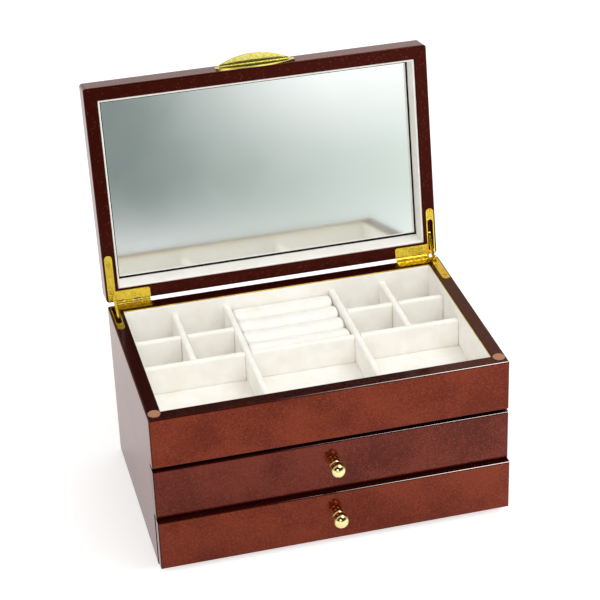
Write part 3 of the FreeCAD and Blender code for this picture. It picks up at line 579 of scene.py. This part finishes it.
class RINGBOX_OT_cabinet(bpy.types.Operator):
    """Stain and lacquer the boards of the case, the lid and the drawer fronts"""

    bl_idname = "ringbox.cabinet"
    bl_label = "Cabinet"

    def execute(self, context):
        stains = (colours().stain, colours().stain_deep)
        red = (*stains, colours().gleam, colours().gleam_deep)
        browner = (*stains, colours().drawer_gleam, colours().drawer_gleam_deep)
        finish_nodes(lacquered_mahogany("mahogany_stained_board", *red, 0.0, 1), "side_panel_left",
                     "side_panel_right", "back_panel", "front_panel", "drawer_lower_front")
        finish_nodes(lacquered_mahogany("mahogany_stained_drawer", *browner, 0.0, 1),
                     "drawer_upper_front")
        finish_nodes(lacquered_mahogany("mahogany_stained_lid", *red, lid_angle(), -1), "lid_panel",
                     "lid_rail_front", "lid_rail_back", "lid_rail_left", "lid_rail_right")
        poplar = plain_poplar("planed_poplar", colours().poplar, colours().poplar_dark)
        finish_nodes(poplar, "base_panel", "drawer_shelf", "tray_floor_panel",
                     *[f"drawer_{place}_{board}" for place in ("upper", "lower")
                       for board in ("sides", "back", "bottom")])
        return {"FINISHED"}


class RINGBOX_OT_hardware(bpy.types.Operator):
    """Polish the hinges, stays, pull and knobs, and finish the small fittings"""

    bl_idname = "ringbox.hardware"
    bl_label = "Hardware"
    pressed, turned, foil = 0.45, 0.15, 0.2  # how wavy each kind of brass is

    def execute(self, context):
        brass = polished_brass("polished_lacquered_brass", colours().brass, colours().brass_dull,
                               self.pressed)
        finish_nodes(brass, "hinge_leaf_case_left", "hinge_leaf_case_right", "hinge_leaf_lid_left",
                     "hinge_leaf_lid_right", "hinge_pins", "hinge_screws_case", "hinge_screws_lid",
                     "stay_arm_left", "stay_arm_right")
        pale = polished_brass("pale_lacquered_brass", colours().pale_brass, colours().pale_brass_dull,
                              self.turned)
        finish_nodes(pale, "drawer_upper_knob", "drawer_lower_knob")
        yellow = polished_brass("yellow_lacquered_brass", colours().pull_brass,
                                colours().pull_brass_dull, self.turned)
        finish_nodes(yellow, "lid_pull", "lid_pull_pins")
        finish_nodes(zinc_steel("zinc_plated_steel", colours().steel), "drawer_upper_knob_screw",
                     "drawer_lower_knob_screw")
        gilt = polished_brass("gilt_edge_foil", colours().gilt, colours().brass_dull, self.foil)
        finish_nodes(gilt, "tray_edge_trim")
        finish_nodes(moulded_rubber("moulded_rubber_disc", colours().bumper), "lid_bumpers")
        return {"FINISHED"}


class RINGBOX_OT_mirror(bpy.types.Operator):
    """Silver the mirror, finish its backing and line the recess round it"""

    bl_idname = "ringbox.mirror"
    bl_label = "Mirror"

    def taper(self, piece, side, low, high):
        """Thins a board evenly from its foot to the rim.

        The side boards get shorter as the end boards get thicker."""
        across = 0 if side in ("left", "right") else 1
        outer = high[across] if side in ("right", "back") else low[across]
        slim = sizes().mirror_board_rim / (high - low)[across]
        for vertex in piece.data.vertices:
            depth = (vertex.co.z - low.z) / (high.z - low.z)
            vertex.co[across] = outer + (vertex.co[across] - outer) * (slim + (1 - slim) * depth)
            if across == 0:
                vertex.co.y *= 1 - depth * sizes().mirror_board_swell / high.y

    def execute(self, context):
        finish_nodes(silvered_glass("silvered_float_glass", colours().mirror), "mirror_glass")
        finish_nodes(black_board("black_fibre_board", colours().board), "mirror_backing")
        pivot = Vector(lid_hinge()["pos_m"])
        turn = Matrix.Rotation(-lid_angle(), 4, Vector(lid_hinge()["axis"]))
        opened = Matrix.Translation(pivot) @ turn @ Matrix.Translation(-pivot)
        shut = opened.inverted()
        for side in ("front", "back", "left", "right"):
            node = f"mirror_lining_{side}"
            corners = [shut @ vertex.co for vertex in frame["nodes"][node].data.vertices]
            low = Vector([min(corner[i] for corner in corners) for i in range(3)])
            high = Vector([max(corner[i] for corner in corners) for i in range(3)])
            rounding = SURROUND_ROUND * min(high - low)
            piece = wrapped_board(f"mirror_surround_{side}", low, high, rounding)
            self.taper(piece, side, low, high)
            piece.matrix_world = opened
            deselect()
            piece.select_set(True)
            context.view_layer.objects.active = piece
            bpy.ops.object.transform_apply(location=True, rotation=True, scale=True)
            finish_piece(piece, suede(), "lid", "suede", node)
        return {"FINISHED"}


class RINGBOX_OT_tray_lining(bpy.types.Operator):
    """Line the tray's walls and floor with suede-covered card"""

    bl_idname = "ringbox.tray_lining"
    bl_label = "Tray lining"

    def execute(self, context):
        walls = frame_of_boards("tray_wall_suede", *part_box("tray_wall_lining"), sizes().tray_wall)
        finish_piece(walls, suede(), "case", "suede", "tray_wall_lining")
        floor = cloth_pad("tray_floor_suede", *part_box("tray_floor_lining"))
        finish_piece(floor, suede(), "case", "suede", "tray_floor_lining")
        return {"FINISHED"}


class RINGBOX_OT_dividers(bpy.types.Operator):
    """Stand the padded dividers in the tray"""

    bl_idname = "ringbox.dividers"
    bl_label = "Dividers"

    def stand(self, name, low, high, node):
        piece = wrapped_board(name, low, high, sizes().divider_round)
        finish_piece(piece, suede(), "case", "suede", node)

    def execute(self, context):
        for node in ("long_divider_left", "long_divider_right", "front_cross_divider_left",
                     "front_cross_divider_centre", "front_cross_divider_right"):
            self.stand(f"{node}_suede", *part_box(node), node)

        # Between the long divider and the wall, one divider runs front to back and two stop at it.
        deep_low, deep_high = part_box("cell_dividers_deep")
        wide_low, wide_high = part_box("cell_dividers_wide")
        gap = sizes().clearance
        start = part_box("long_divider_right")[1].x + gap
        deep_start = deep_high.x - sizes().divider
        spans = {
            "cell_divider_deep": (Vector((deep_start, deep_low.y, deep_low.z)), deep_high,
                                  "cell_dividers_deep"),
            "cell_divider_inner": (Vector((start, wide_low.y, wide_low.z)),
                                   Vector((deep_start - gap, wide_high.y, wide_high.z)),
                                   "cell_dividers_wide"),
            "cell_divider_outer": (Vector((deep_high.x + gap, wide_low.y, wide_low.z)), wide_high,
                                   "cell_dividers_wide"),
        }
        for name, (low, high, node) in spans.items():
            self.stand(f"{name}_right", low, high, node)
            self.stand(f"{name}_left", Vector((-high.x, low.y, low.z)),
                       Vector((-low.x, high.y, high.z)), node)
        return {"FINISHED"}


class RINGBOX_OT_ring_rolls(bpy.types.Operator):
    """Make one stuffed ring roll, let its cover swell, and lay four of them in the middle bay"""

    bl_idname = "ringbox.ring_rolls"
    bl_label = "Ring rolls"

    enlarged = 20.0  # the cloth is worked this much larger, because the solver is made for big cloths
    last_frame = 20
    pressure = 4.0
    crease_size = 0.009  # in metres, like the depth
    crease_depth = 0.0005

    def shape(self, low, high):
        inset = Vector((1, 1, 1)) * sizes().roll_inset
        piece = primitive_block("ring_roll_suede_1", low + inset, high - inset)
        top = (high - inset).z
        edit(piece, "EDGE", lambda ends: runs_along(ends, 0) and ends[0].z > top - TINY)
        bpy.ops.mesh.bevel(offset=sizes().roll_crown, segments=8)
        leave_edit()
        apply_modifier(piece, "REMESH", mode="VOXEL", voxel_size=sizes().roll_step,
                       use_smooth_shade=True)
        return piece

    def swell(self, piece):
        """Cloth under pressure: the cover rounds out, and no point moves further than the cap."""
        scene = bpy.context.scene
        rest = [vertex.co.copy() for vertex in piece.data.vertices]
        for vertex, start in zip(piece.data.vertices, rest):
            vertex.co = start * self.enlarged
        cover = piece.modifiers.new("Cover", "CLOTH")
        cover.settings.use_pressure = True
        cover.settings.uniform_pressure_force = self.pressure
        cover.settings.effector_weights.gravity = 0.0
        cover.point_cache.frame_start = 1
        cover.point_cache.frame_end = self.last_frame
        for number in range(1, self.last_frame + 1):
            scene.frame_set(number)
        swollen = piece.evaluated_get(bpy.context.evaluated_depsgraph_get())
        ends = [vertex.co / self.enlarged for vertex in swollen.data.vertices]
        piece.modifiers.remove(cover)
        scene.frame_set(1)
        cap = sizes().roll_swell
        for vertex, start, end in zip(piece.data.vertices, rest, ends):
            step = end - start
            if step.length > cap:
                step *= cap / step.length
            vertex.co = start + step

    def execute(self, context):
        low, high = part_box("ring_roll_1")
        first = self.shape(low, high)
        self.swell(first)
        apply_modifier(first, "SMOOTH", factor=0.5, iterations=3)
        apply_modifier(first, "SUBSURF", levels=1, render_levels=1)
        rolls = [first]
        for index in range(2, 5):
            copy = first.copy()
            copy.data = first.data.copy()
            copy.name = f"ring_roll_suede_{index}"
            context.scene.collection.objects.link(copy)
            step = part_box(f"ring_roll_{index}")[0].y - low.y
            for vertex in copy.data.vertices:
                vertex.co.y += step
            rolls.append(copy)
        for index, roll in enumerate(rolls, 1):
            creases = cloud_texture("roll_creases", self.crease_size)
            apply_modifier(roll, "DISPLACE", texture=creases, strength=self.crease_depth, mid_level=0.5)
            finish_piece(roll, suede(), "case", "roll_suede", f"ring_roll_{index}")
        return {"FINISHED"}


class RINGBOX_OT_drawer_linings(bpy.types.Operator):
    """Line both drawers with suede-covered card"""

    bl_idname = "ringbox.drawer_linings"
    bl_label = "Drawer linings"

    def execute(self, context):
        for place in ("upper", "lower"):
            node = f"drawer_{place}_lining"
            low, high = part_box(node)
            pad_top = low.z + sizes().drawer_floor
            pad = cloth_pad(f"drawer_{place}_floor_suede", low, Vector((high.x, high.y, pad_top)))
            finish_piece(pad, suede(), f"drawer_{place}", "suede", node)
            walls = frame_of_boards(f"drawer_{place}_wall_suede", Vector((low.x, low.y, pad_top)), high,
                                    sizes().drawer_wall)
            finish_piece(walls, suede(), f"drawer_{place}", "suede", node)
        return {"FINISHED"}


class RINGBOX_OT_base_felt(bpy.types.Operator):
    """Glue the felt sheet under the base"""

    bl_idname = "ringbox.base_felt"
    bl_label = "Base felt"
    corner = 0.003  # radius in metres of the sheet's corners

    def execute(self, context):
        low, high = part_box("base_felt")
        piece = primitive_block("base_felt_sheet", low, high)
        edit(piece, "EDGE", lambda ends: runs_along(ends, 2))
        bpy.ops.mesh.bevel(offset=self.corner, segments=5)
        leave_edit()
        smooth(piece)
        felt = pressed_felt("pressed_felt", colours().felt)
        finish_piece(piece, felt, "case", "felt", "base_felt")
        return {"FINISHED"}


class RINGBOX_OT_stage(bpy.types.Operator):
    """Set out the pale floor, the studio light and the camera"""

    bl_idname = "ringbox.stage"
    bl_label = "Stage"
    fill_colour = (1.0, 0.99, 0.97, 1)
    fill_strength = 0.86  # what lights the box from all round
    studio_strength = 1.12  # what the reflections see
    softboxes = (  # name, place, width in metres and watts
        ("overhead_softbox", (0.65, -0.3, 1.42), 0.8, 5.4),
        ("front_softbox", (-0.5, -1.5, 0.9), 0.6, 4.0),
    )
    lit_point = (0, 0, 0.12)
    lens_place = (-0.317648, -1.330394, 0.947434)
    lens_right = (0.96778773, -0.24958292, -0.03309502)
    lens_up = (0.15113755, 0.47079702, 0.8691994)
    lens_length = 118.823  # in millimetres, on a sensor 36 mm wide

    def floor(self):
        deselect()
        bpy.ops.mesh.primitive_grid_add(x_subdivisions=4, y_subdivisions=4, size=sizes().floor_size,
                                        location=(0, sizes().floor_size / 2 - sizes().floor_front, 0))
        floor = bpy.context.object
        floor.name = "paper_floor"
        bpy.ops.object.transform_apply(location=True, rotation=True, scale=True)
        # Smooth white paper; what the lens and the reflections see is lifted to the white round it.
        material, tree = new_material("white_paper")
        place = add(tree, "TexCoord").outputs["Object"]
        fibre = add(tree, "TexNoise", {"Vector": place, "Scale": per(3)})
        tone = add(tree, "Mix", {0: fibre.outputs["Fac"], 6: four(colours().floor),
                                 7: four(tuple(0.99 * c for c in colours().floor))}, data_type="RGBA")
        # A painted glow, stronger just in front of the box, lights away its shadow there, so that it is
        # white right up to the drawers; the soft shadow lies at the left.
        parts = add(tree, "SeparateXYZ", {0: place})
        painted_front_glow = add(tree, "MapRange", {"Value": parts.outputs["Y"], "From Min": -0.10, "From Max": -0.08,
                                      "To Min": 0.85, "To Max": 0.40})
        path = add(tree, "LightPath")
        glossy = add(tree, "Math", {0: path.outputs["Is Glossy Ray"],
                                    1: path.outputs["Is Transmission Ray"]}, operation="MAXIMUM")
        # A glow seen only in reflections is painted on the floor close to the box: the lacquer sees it
        # dimmer at the left and brighter at the right.
        slant = add(tree, "MapRange", {"Value": parts.outputs["X"], "From Min": -0.15, "From Max": 0.15,
                                       "To Min": 0.24, "To Max": 0.50})
        close = add(tree, "MapRange", {"Value": parts.outputs["Y"], "From Min": -0.31,
                                       "From Max": -0.24, "To Min": 0.33,
                                       "To Max": slant.outputs["Result"]})
        mirrored = add(tree, "Math", {0: glossy.outputs[0], 1: close.outputs["Result"]},
                       operation="MULTIPLY")
        lift = add(tree, "Math", {0: path.outputs["Is Camera Ray"], 1: painted_front_glow.outputs["Result"],
                                  2: mirrored.outputs[0]}, operation="MULTIPLY_ADD")
        shader = add(tree, "BsdfPrincipled", {
            "Base Color": tone.outputs[2], "Roughness": 1.0, "Specular IOR Level": 0.0,
            "Emission Color": (1, 1, 1, 1), "Emission Strength": lift.outputs[0]})
        add(tree, "OutputMaterial", {"Surface": shader.outputs["BSDF"]})
        floor.data.materials.append(material)

    def surroundings(self):
        """White all round for the lens; for reflections the studio is dim in front and to the left."""
        world = bpy.data.worlds.new("white_studio")
        bpy.context.scene.world = world
        world.use_nodes = True
        tree = world.node_tree
        tree.nodes.clear()
        axes = add(tree, "SeparateXYZ", {0: add(tree, "TexCoord").outputs["Generated"]})
        across, along, height = (axes.outputs[name] for name in "XYZ")
        front = add(tree, "Math", {0: along, 1: -1.0}, operation="MULTIPLY")
        front = add(tree, "Math", {0: front.outputs[0], 1: 0.05}, operation="MAXIMUM")
        slope = add(tree, "Math", {0: across, 1: front.outputs[0]}, operation="DIVIDE")
        # Where each band of the studio begins and ends, and whether its edge is soft.  Just under
        # the horizon it is lighter towards the right, and the table's far edge is white.
        band = {}
        for name, measure, begins, ends, edge in (
                ("right", slope.outputs[0], 0.13, 0.30, "LINEAR"),
                ("corner", slope.outputs[0], 0.15, 0.24, "LINEAR"),
                ("rise", height, -0.125, -0.085, "LINEAR"),
                ("table", height, -0.135, -0.175, "SMOOTHSTEP"),
                ("above", height, 0.80, 0.92, "SMOOTHSTEP"),
                ("aside", across, 0.15, 0.25, "SMOOTHSTEP"),
                ("horizon", height, -0.065, -0.045, "SMOOTHSTEP"),
                ("night", height, 0.10, 0.32, "SMOOTHSTEP"),
                ("behind", along, -0.3, 0.1, "SMOOTHSTEP"),
                ("wall", height, 0.04, 0.12, "SMOOTHSTEP"),
                ("high", height, 0.20, 0.35, "LINEAR")):
            band[name] = add(tree, "MapRange", {"Value": measure, "From Min": begins, "From Max": ends},
                             interpolation_type=edge).outputs["Result"]
        band["fade"] = add(tree, "MapRange", {
            "Value": slope.outputs[0], "From Min": 0.10, "From Max": 0.22,
            "To Min": 1.0, "To Max": 0.4}).outputs["Result"]
        for name, limit in (("rise", "corner"), ("table", "fade"), ("above", "aside"),
                            ("wall", "behind")):
            band[name] = add(tree, "Math", {0: band[name], 1: band[limit]},
                             operation="MULTIPLY").outputs[0]
        shade = add(tree, "Mix", {0: band["high"], 6: four(colours().low_wall),
                                  7: four(colours().warm_wall)}, data_type="RGBA")
        white = (1, 1, 1, 1)
        seen = four(colours().dim_side)
        for name, colour in (("right", four(colours().light_side)), ("rise", white), ("table", white),
                             ("horizon", white), ("night", four(colours().dark_side)),
                             ("above", white), ("behind", white), ("wall", shade.outputs[2])):
            seen = add(tree, "Mix", {0: band[name], 6: seen, 7: colour}, data_type="RGBA").outputs[2]
        path = add(tree, "LightPath")
        fill = add(tree, "Background", {"Color": self.fill_colour, "Strength": self.fill_strength})
        plain = add(tree, "Background", {"Color": white, "Strength": 1.0})
        studio = add(tree, "Background", {"Color": seen, "Strength": self.studio_strength})
        direct = add(tree, "Math", {0: path.outputs["Is Camera Ray"],
                                    1: path.outputs["Is Transmission Ray"]}, operation="MAXIMUM")
        lens = add(tree, "MixShader", {0: direct.outputs[0], 1: fill.outputs[0], 2: plain.outputs[0]})
        both = add(tree, "MixShader", {0: path.outputs["Is Glossy Ray"], 1: lens.outputs[0],
                                       2: studio.outputs[0]})
        add(tree, "OutputWorld", {"Surface": both.outputs[0]})

    def softbox(self, name, place, width, watts):
        deselect()
        bpy.ops.object.light_add(type="AREA", location=place)
        light = bpy.context.object
        light.name = name
        light.data.shape = "SQUARE"
        light.data.size = width
        light.data.energy = watts
        light.rotation_mode = "QUATERNION"
        aim = Vector(self.lit_point) - Vector(place)
        light.rotation_quaternion = aim.to_track_quat("-Z", "Y")

    def camera(self):
        data = bpy.data.cameras.new("front_left_lens")
        data.sensor_width = 36.0
        data.lens = self.lens_length
        data.clip_start = 0.1
        data.clip_end = 50.0
        camera = bpy.data.objects.new("front_left_lens", data)
        bpy.context.scene.collection.objects.link(camera)
        right = Vector(self.lens_right)
        up = Vector(self.lens_up)
        turned = Matrix((right, up, right.cross(up))).transposed()
        camera.matrix_world = Matrix.Translation(self.lens_place) @ turned.to_4x4()
        bpy.context.scene.camera = camera

    def execute(self, context):
        self.floor()
        self.surroundings()
        for lamp in self.softboxes:
            self.softbox(*lamp)
        self.camera()
        context.scene.view_settings.view_transform = "Standard"
        return {"FINISHED"}


STEPS = (RINGBOX_OT_stage, RINGBOX_OT_cabinet, RINGBOX_OT_hardware, RINGBOX_OT_mirror,
         RINGBOX_OT_tray_lining, RINGBOX_OT_dividers, RINGBOX_OT_ring_rolls,
         RINGBOX_OT_drawer_linings, RINGBOX_OT_base_felt)


class RINGBOX_PT_sidebar(bpy.types.Panel):
    """The ring box's steps, sizes and colours"""

    bl_idname = "RINGBOX_PT_sidebar"
    bl_label = "Ring Box"
    bl_space_type = "VIEW_3D"
    bl_region_type = "UI"
    bl_category = "Ring Box"

    def draw(self, context):
        for step in STEPS:
            self.layout.operator(step.bl_idname)
        for group in (context.scene.ring_box_sizes, context.scene.ring_box_colours):
            box = self.layout.box()
            for name in group.bl_rna.properties.keys():
                if name not in ("rna_type", "name"):
                    box.prop(group, name)


CLASSES = (RingBoxSizes, RingBoxColours, *STEPS, RINGBOX_PT_sidebar)


def register():
    for each in CLASSES:
        bpy.utils.register_class(each)
    bpy.types.Scene.ring_box_sizes = bpy.props.PointerProperty(type=RingBoxSizes)
    bpy.types.Scene.ring_box_colours = bpy.props.PointerProperty(type=RingBoxColours)


def unregister():
    del bpy.types.Scene.ring_box_colours
    del bpy.types.Scene.ring_box_sizes
    for each in reversed(CLASSES):
        bpy.utils.unregister_class(each)


def main():
    register()
    bpy.ops.ringbox.stage()
    bpy.ops.ringbox.cabinet()
    bpy.ops.ringbox.hardware()
    bpy.ops.ringbox.mirror()
    bpy.ops.ringbox.tray_lining()
    bpy.ops.ringbox.dividers()
    bpy.ops.ringbox.ring_rolls()
    bpy.ops.ringbox.drawer_linings()
    bpy.ops.ringbox.base_felt()


if __name__ == "__main__":
    main()
